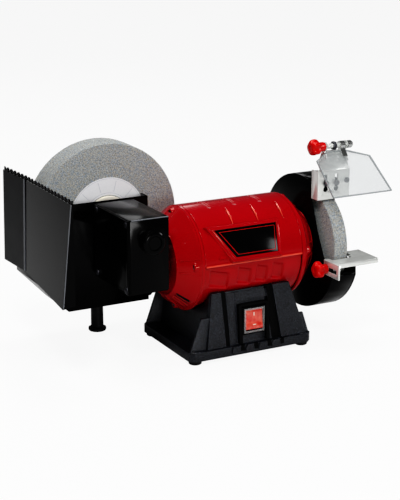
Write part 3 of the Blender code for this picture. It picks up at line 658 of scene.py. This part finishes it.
def make_base_detail():
    pillars = [("left", (-26.0, 2.4), (-17.2, -3.2)), ("right", (84.6, 123.4), (72.6, 98.6))]
    for name, foot, top in pillars:
        piece(f"base_pillar_{name}", strip_on_front(foot, top, 17.2, 91.0, 3.0), "base_plastic",
              bevel=1.0)
    piece("base_panel", joined(strip_on_front((8.2, 17.5), (3.9, 17.5), 17.2, 88.0, 1.2),
                               strip_on_front((66.5, 72.0), (64.5, 61.6), 17.2, 88.0, 1.2),
                               strip_on_front((17.5, 66.5), (17.5, 64.5), 75.5, 88.0, 1.2)),
          "base_plastic", bevel=0.6)
    low, high = machine("switch_frame")
    x0, x1, z0, z1 = low.x, high.x, low.z, high.z
    for name, (a, b) in (("left", (x0 - 5.6, x0 - 0.4)), ("right", (x1 + 0.4, x1 + 5.6))):
        piece(f"switch_cheek_{name}", strip_on_front((a, b), (a, b), z0 - 10.5, z1 + 4, 4.6), "recess",
              bevel=0.9)
    piece("switch_brow", strip_on_front((x0 - 3, x1 + 3), (x0 - 3, x1 + 3), z1 + 0.5, z1 + 4.6, 4.2),
          "recess", bevel=0.9)
    # Thin near-black sheets in the channels beside the pillars: painted shade.
    for name, foot, top in (("left", (2.8, 7.8), (-3.0, 3.4)), ("right", (72.4, 84.2), (61.8, 72.4))):
        piece(f"base_channel_{name}", strip_on_front(foot, top, 17.4, 90, 0.25, 4.0), "recess")
    for number, x in enumerate((15.5, 35.5, 55.5, 75.0), start=1):
        arch = [(x - 6.5, 8.0), (x - 6.5, 13.5), (x - 4.0, 17.4), (x + 4.0, 17.4), (x + 6.5, 13.5),
                (x + 6.5, 8.0)]
        piece(f"flange_lug_{number}", prism("Y", (-73.8, -68), arch), "base_plastic",
              bevel=0.9)
        # A near-black block in the gap beside each lug: painted shade.
        piece(f"flange_gap_{number}", box((x + 7.0, x + 12.5), (-72.5, -66), (9.5, 17.3)), "recess",
              bevel=0.5)
    for foot in range(1, 5):
        low, high = machine(f"rubber_foot_{foot}")
        centre = ((low.x + high.x) / 2, (low.y + high.y) / 2)
        collar = turned("Z", centre, [(4.9, 0), (4.9, 9.6), (6.0, 10.2), (17.0, 10.2), (18.2, 9.0),
                                      (18.2, 0)], 32)
        piece(f"foot_collar_{foot}", collar, "base_plastic", sharp=40)
        groove = turned("Z", centre, [(0.0, 0), (0.0, 7.4), (0.8, 8.4), (2.0, 8.5), (2.6, 7.9),
                                      (3.2, 8.5),
                                      (4.4, 8.4), (4.85, 7.6), (4.85, 0)], 36)
        piece(f"rubber_pad_{foot}", groove, "rubber", stands_for=[f"rubber_foot_{foot}"],
              sharp=50)


def make_switch():
    low, high = machine("switch_rocker")
    x0, x1 = low.x + 0.3, high.x - 0.3
    z = (low.z + high.z) / 2
    tilt = math.radians(-7)
    side = []
    for i in range(17):
        t = -13.3 + 26.6 * i / 16
        side.append((-8.3 - 1.2 * (abs(t) / 13.3) ** 2 * (1 - (abs(t) / 13.3) ** 6), t))
    side += [(3.8, 12), (6.6, 0), (3.8, -12)]
    centre_y = -60.0
    turned_side = [(centre_y + dy * math.cos(tilt) - dz * math.sin(tilt),
                    48.0 + dy * math.sin(tilt) + dz * math.cos(tilt)) for dy, dz in side]
    piece("rocker_cap", prism("X", (x0, x1), turned_side), "switch_red", body="switch",
          stands_for=["switch_rocker"], bevel=0.7)
    mid = (x0 + x1) / 2
    marks = []
    for dz, height in ((7.0, 2.2), (-7.0, 2.2)):
        face_y = centre_y - 9.0 * math.cos(tilt) - dz * math.sin(tilt) - 0.15
        face_z = z + dz
        marks.append(box((mid - 0.5, mid + 0.5) if dz > 0 else (mid - 2.2, mid + 2.2),
                         (face_y, face_y + 1.2), (face_z - height, face_z + height) if dz > 0
                         else (face_z - 0.5, face_z + 0.5)))
    piece("rocker_marks", joined(*marks), "cream_plastic", body="switch")
    low, high = machine("switch_frame")
    rim = 1.9
    outer = [(low.x + rim, low.z + rim), (high.x - rim, low.z + rim), (high.x - rim, high.z - rim),
             (low.x + rim, high.z - rim)]
    inner = [(low.x + 4.6, low.z + 4.6), (high.x - 4.6, low.z + 4.6), (high.x - 4.6, high.z - 4.6),
             (low.x + 4.6, high.z - 4.6)]
    front = low.y
    rings = [[(u, along, v) for u, v in outline] for along, outline in
             ((front + 0.6, outer), (front - 1.0, outer), (front - 1.6, inner), (front + 0.6, inner))]
    piece("switch_gasket", closed_rings(rings), "switch_cover", bevel=0.3)


# Gearbox --------------------------------------------------------------------------------------
def make_gearbox_detail():
    low, high = machine("gearbox_housing")
    wet = ((machine("wet_shaft")[0] + machine("wet_shaft")[1]) / 2)
    axis = (wet.x, wet.z)
    front = low.y
    ring = turned("Y", axis, [(front - 0.02, 9.0), (front - 1.3, 9.4), (front - 1.6, 11.6),
                              (front - 1.1, 13.4), (front + 0.4, 15.3), (front + 2.6, 15.3),
                              (front + 2.6, 9.0)], 64)
    piece("boss_rim", ring, "black_plastic", sharp=50)
    plug = turned("Y", axis, [(front - 0.5, 0), (front - 0.5, 8.2), (front + 1.4, 8.8),
                              (front + 1.4, 0)], 48)
    piece("boss_plug", plug, "guard_paint", sharp=40)
    for number in range(1, 5):
        a, b = machine(f"cover_screw_{number}")
        centre = ((a.y + b.y) / 2, (a.z + b.z) / 2)
        washer = turned("X", centre, [(a.x + 1.4, 3.3), (a.x + 1.4, 4.6), (a.x + 2.0, 4.8),
                                      (a.x + 2.0, 3.3)], 28)
        piece(f"cover_washer_{number}", washer, "dark_steel", sharp=45)
        dress(f"cover_screw_{number}", "dark_steel")
    face, roof = machine("gearbox_cover")[0].y, high.z
    # Thin light grey beads along the top front edge and the front left edge: painted highlights.
    edges = [loft([[(x, face + 0.9 + u, roof - 0.9 + v) for u, v in circle(0.9, 12)]
                   for x in (low.x + 2.0, GEARBOX_RIGHT)]),
             loft([[(low.x + 0.9 + u, face + 0.9 + v, z) for u, v in circle(0.9, 12)]
                   for z in (low.z + 2.0, roof - 2.0)])]
    piece("gearbox_edge_highlights", joined(*edges), "painted_edge_shine", sharp=60)
    x = low.x - 0.4
    outline = [(low.y + 16, low.z + 1), (51, low.z + 1), (51, high.z - 1), (low.y + 16, high.z - 1)]
    inner = [(low.y + 18, low.z + 2.6), (49.4, low.z + 2.6), (49.4, high.z - 2.6),
             (low.y + 18, high.z - 2.6)]
    rings = [[(along, u, v) for u, v in line] for along, line in
             ((x - 2.6, outline), (x - 3.3, outline), (x - 3.3, inner), (x - 2.6, inner))]
    piece("cover_bead", closed_rings(rings), "black_plastic", bevel=0.25)


# Wet side -------------------------------------------------------------------------------------
def make_label_print():
    low, high = machine("stone_label")
    axis = ((low.x + high.x) / 2, (low.z + high.z) / 2)
    y = low.y
    rings = [turned("Y", axis, [(y - 0.12, r), (y - 0.12, r + 0.35), (y + 0.1, r + 0.35),
                                (y + 0.1, r)], 96)
             for r in (33.5, 52.6)]
    for k in range(12):
        t = math.radians(15 + 30 * k)
        inner, outer = 35.5, 50.5
        across = (math.cos(t + math.pi / 2) * 0.18, math.sin(t + math.pi / 2) * 0.18)
        outline = []
        for r, s in ((inner, 1), (outer, 1), (outer, -1), (inner, -1)):
            outline.append((axis[0] + r * math.cos(t) + s * across[0],
                            axis[1] + r * math.sin(t) + s * across[1]))
        rings.append(prism("Y", (y - 0.12, y + 0.1), outline))
    piece("label_rings", joined(*rings), "print", body="wet_wheel")


def plate_section(y):
    """Inner x, outer foot x, low z of the serrated plate at a distance to the back."""
    stations = [(-65.0, -205.0, -222.0, 102.0), (85.0, -205.0, -212.0, 109.0),
                (152.0, -210.0, -216.0, 109.0)]
    for first, second in zip(stations, stations[1:]):
        if first[0] <= y <= second[0]:
            t = (y - first[0]) / (second[0] - first[0])
            return [a + (b - a) * t for a, b in zip(first[1:], second[1:])]
    return list(stations[-1][1:])


def make_rest_plate():
    top = machine("tool_rest_plate")[1].z
    ys = sorted(set([-65.0 + 217.0 * i / 372 for i in range(373)] + [84.4, 85.0, 85.6]))
    pitch = 10.9
    sections = []
    for y in ys:
        inner_x, foot_x, low = plate_section(y)
        tooth = 0.5 + 0.5 * math.cos(2 * math.pi * (y + 65) / pitch)
        crest = top - 3.6 * (1 - tooth) ** 1.5
        sections.append([(inner_x, y, crest), (inner_x - 1.5, y, crest), (inner_x - 1.7, y, top - 4.0),
                         (inner_x - 3.2, y, top - 4.4), (foot_x, y, low), (inner_x, y, low + 2)])
    piece("serrated_plate", loft(sections), "black_plastic",
          stands_for=["tool_rest_plate"], sharp=40)
    # The bead and the near edge line are light grey: painted highlights.
    proud = 1.1
    sections = []
    for y in (84.6, 88.2):
        inner_x, foot_x, low = plate_section(y)
        sections.append([(inner_x - 3.4, y, top - 5), (inner_x - 3.4 - proud, y, top - 5),
                         (foot_x - proud, y, low + 0.6), (foot_x + 0.6, y, low + 0.6)])
    piece("plate_bead", loft(sections), "painted_edge_shine", bevel=0.4)
    inner_x, foot_x, low = plate_section(-65.0)
    edge = [[(x + u, -65.0 + v, z) for u, v in circle(0.8, 12)]
            for x, z in ((foot_x + 1.2, low + 1.5), (inner_x - 2.6, top - 5))]
    piece("plate_near_edge_highlight", loft(edge), "painted_edge_shine", sharp=60)
    # The far end strip is the lighter black: painted light.
    sections = []
    for y in (88.4, 151.6):
        inner_x, foot_x, low = plate_section(y)
        sections.append([(inner_x - 2.9, y, top - 5), (inner_x - 3.6, y, top - 5),
                         (foot_x - 0.4, y, low + 0.8),
                         (foot_x + 0.6, y, low + 0.8)])
    piece("plate_far_strip", loft(sections), "lit_strip_black", bevel=0.2)


# Dry side -------------------------------------------------------------------------------------
def make_guard_detail():
    low = machine("guard_body")[0]
    hub = turned("X", (0.0, SHAFT_Z), [(low.x - 0.2, 26), (low.x - 1.2, 27), (low.x - 1.2, 34),
                                       (low.x - 0.2, 36)], 64)
    piece("guard_boss_ring", hub, "guard_paint", sharp=40)


SHIELD_SLOPE = math.atan2(43.0, 38.0)


def shield_point(along, lift, x):
    cos, sin = math.cos(SHIELD_SLOPE), math.sin(SHIELD_SLOPE)
    return (x, -80.0 + along * cos - lift * sin, 200.0 + along * sin + lift * cos)


PANE = [(153.5, 0), (246.5, 0), (235, 56), (208, 66), (199, 69), (173, 69), (167, 66), (150.5, 57)]


def inset(outline, amount):
    """Outline moved towards its middle by about an amount."""
    cx = sum(p[0] for p in outline) / len(outline)
    cy = sum(p[1] for p in outline) / len(outline)
    moved = []
    for x, y in outline:
        d = math.hypot(x - cx, y - cy)
        moved.append((x + (cx - x) * amount / d, y + (cy - y) * amount / d))
    return moved


def make_shield_detail():
    outer, inner = inset(PANE, 0.15), inset(PANE, 1.7)
    rings = [[shield_point(along, lift, x) for x, along in line] for lift, line in
             ((0.1, outer), (2.1, outer), (2.1, inner), (0.1, inner))]
    piece("visor_rim", closed_rings(rings), "visor_edge", body="shield")
    low, high = machine("shield_bolt")
    axis = ((low.y + high.y) / 2, (low.z + high.z) / 2)
    steps, pitch = 14, 1.6
    sections = []
    start, end = 171.5, 201.0
    turns = int((end - start) / pitch)
    profile_count = 6
    for i in range(turns * steps + 1):
        t = 2 * math.pi * i / steps
        x = start + pitch * i / steps
        ring = []
        for k in range(profile_count):
            p = 2 * math.pi * k / profile_count
            r = 3.0 + 0.42 * math.cos(p)
            ring.append((x + 0.5 * math.sin(p), axis[0] + r * math.cos(t), axis[1] + r * math.sin(t)))
        sections.append(ring)
    piece("bolt_thread", loft(sections), "zinc", body="shield_mount", sharp=60)
    nut = turned("X", axis, [(181.5, 3.1), (181.5, 5.6), (182.2, 6.2), (185.4, 6.2), (186.0, 5.6),
                             (186.0, 3.1)], 6)
    piece("bolt_nut", nut, "dark_steel", body="shield_mount", bevel=0.3)
    rivet = (197.5, 213.5)
    points = turned("Y", rivet, [(-48.0, 0), (-48.0, 2.0), (-47.1, 3.6), (-45.6, 3.7), (-45.6, 0)], 20)
    piece("bracket_rivet_head", points, "dark_steel", body="shield_mount", sharp=40)


def make_knob(name, node, body):
    """Replaces a plain lobed knob with a fluted one that has a collar and a recess."""
    low, high = machine(node)
    axis = ((low.y + high.y) / 2, (low.z + high.z) / 2)
    radius = (high.z - low.z) / 2 - 0.2
    x0, x1 = low.x + 0.1, high.x - 0.1
    length = x1 - x0
    count = 120
    rings = []
    profile = [(0.0, 0.30), (0.0, 0.62), (0.03, 0.74), (0.08, 0.86), (0.16, 0.95), (0.28, 1.0),
               (0.42, 0.99), (0.52, 0.93), (0.58, 0.78), (0.61, 0.62), (0.66, 0.57), (0.95, 0.55),
               (1.0, 0.52), (1.0, 0.30)]
    for along, share in profile:
        ring = []
        for j in range(count):
            t = 2 * math.pi * j / count
            lobes = 0.5 + 0.5 * math.cos(5 * t)
            depth = smooth(share, 0.62, 0.9)
            ring_r = radius * share * (1 - 0.24 * depth * (1 - lobes ** 0.7))
            ring.append((x0 + length * along, axis[0] + ring_r * math.cos(t),
                         axis[1] + ring_r * math.sin(t)))
        rings.append(ring)
    piece(name, closed_rings(rings), "red_plastic", body=body, stands_for=[node], sharp=50)
    cap = turned("X", axis, [(x0 + 0.7, 0), (x0 + 0.7, radius * 0.29), (x0 + 1.8, radius * 0.31),
                             (x0 + 1.8, 0)], 32)
    piece(name + "_cap", cap, "red_plastic", body=body, sharp=40)


FLOOR_HALF = 6.0                      # metres
LAMPS = (                             # name, place in metres, side of the square, watts
    ("key", (-0.9, -1.1, 2.0), 0.5, 27),
    ("fill", (1.8, -1.0, 0.9), 0.6, 12),
    ("top", (0.1, 0.35, 2.1), 0.9, 22),
    ("low_front", (-0.2, -2.1, 0.35), 0.5, 10),
    ("back", (0.5, 1.8, 1.4), 1.0, 7),
)


# Stage ----------------------------------------------------------------------------------------
def make_stage():
    mesh = bpy.data.meshes.new("floor")
    size = FLOOR_HALF
    mesh.from_pydata([(-size, -size, 0), (size, -size, 0), (size, size, 0), (-size, size, 0)], [],
                     [(0, 1, 2, 3)])
    floor = bpy.data.objects.new("floor", mesh)
    bpy.context.scene.collection.objects.link(floor)
    plain = Finish("pale_floor", Specular_IOR_Level=0.1, Roughness=0.9)
    plain.ramp(plain.noise(2), [(0.3, (0.66, 0.66, 0.66)), (0.7, (0.68, 0.68, 0.68))])
    glow = plain.nodes.new("ShaderNodeEmission")
    even = plain.nodes.new("ShaderNodeMixShader")
    even.inputs["Fac"].default_value = 0.92
    seen = plain.nodes.new("ShaderNodeMixShader")
    path = plain.nodes.new("ShaderNodeLightPath")
    plain.links.new(plain.shader.outputs["BSDF"], even.inputs[1])
    plain.links.new(glow.outputs["Emission"], even.inputs[2])
    plain.links.new(path.outputs["Is Camera Ray"], seen.inputs["Fac"])
    plain.links.new(plain.shader.outputs["BSDF"], seen.inputs[1])
    plain.links.new(even.outputs["Shader"], seen.inputs[2])
    plain.links.new(seen.outputs["Shader"], plain.nodes["Material Output"].inputs["Surface"])
    mesh.materials.append(plain.material)

    sky = bpy.data.worlds.new("studio")
    sky.use_nodes = True
    nodes, links = sky.node_tree.nodes, sky.node_tree.links
    soft = nodes["Background"]
    soft.inputs["Color"].default_value = (1, 1, 1, 1)
    soft.inputs["Strength"].default_value = 0.1
    white = nodes.new("ShaderNodeBackground")
    white.inputs["Strength"].default_value = 1.0
    path = nodes.new("ShaderNodeLightPath")
    mix = nodes.new("ShaderNodeMixShader")
    links.new(path.outputs["Is Camera Ray"], mix.inputs["Fac"])
    links.new(soft.outputs["Background"], mix.inputs[1])
    links.new(white.outputs["Background"], mix.inputs[2])
    links.new(mix.outputs["Shader"], nodes["World Output"].inputs["Surface"])
    bpy.context.scene.world = sky

    target = world((20, 0, 120))
    for name, place, size, energy in LAMPS:
        lamp = bpy.data.lights.new(name, "AREA")
        lamp.shape = "SQUARE"
        lamp.size = size
        lamp.energy = energy
        made = bpy.data.objects.new(name, lamp)
        made.location = place
        made.rotation_euler = (target - made.location).to_track_quat("-Z", "Y").to_euler()
        bpy.context.scene.collection.objects.link(made)


def make_camera():
    azimuth, elevation, distance = math.radians(-27.98), math.radians(16.07), 1.77506
    target = world((0, 0, 131.07))
    back = Vector((math.sin(azimuth) * math.cos(elevation), -math.cos(azimuth) * math.cos(elevation),
                   math.sin(elevation)))
    camera = bpy.data.cameras.new("camera")
    camera.lens = 97.2
    camera.sensor_width = 36.0
    camera.sensor_fit = "AUTO"
    made = bpy.data.objects.new("camera", camera)
    made.location = target + back * distance
    made.rotation_euler = (target - made.location).to_track_quat("-Z", "Y").to_euler()
    bpy.context.scene.collection.objects.link(made)
    bpy.context.scene.camera = made
    view = bpy.context.scene.view_settings
    view.view_transform = "Standard"
    view.use_curve_mapping = True
    tones = view.curve_mapping.curves[3]
    for darker in ((0.03, 0.009), (0.09, 0.06), (0.25, 0.24)):
        tones.points.new(*darker)
    view.curve_mapping.update()


make_camera()
make_stage()
dress_all()
make_motor_skin()
make_cores()
make_badge_frame()
make_cap("left", -1)
make_cap("right", 1)
make_base_detail()
make_switch()
make_gearbox_detail()
make_label_print()
make_rest_plate()
make_guard_detail()
make_shield_detail()
make_knob("rest_grip", "rest_knob", "rest_knob")
make_knob("shield_grip", "shield_knob", "shield_knob")

bpy.context.view_layer.update()
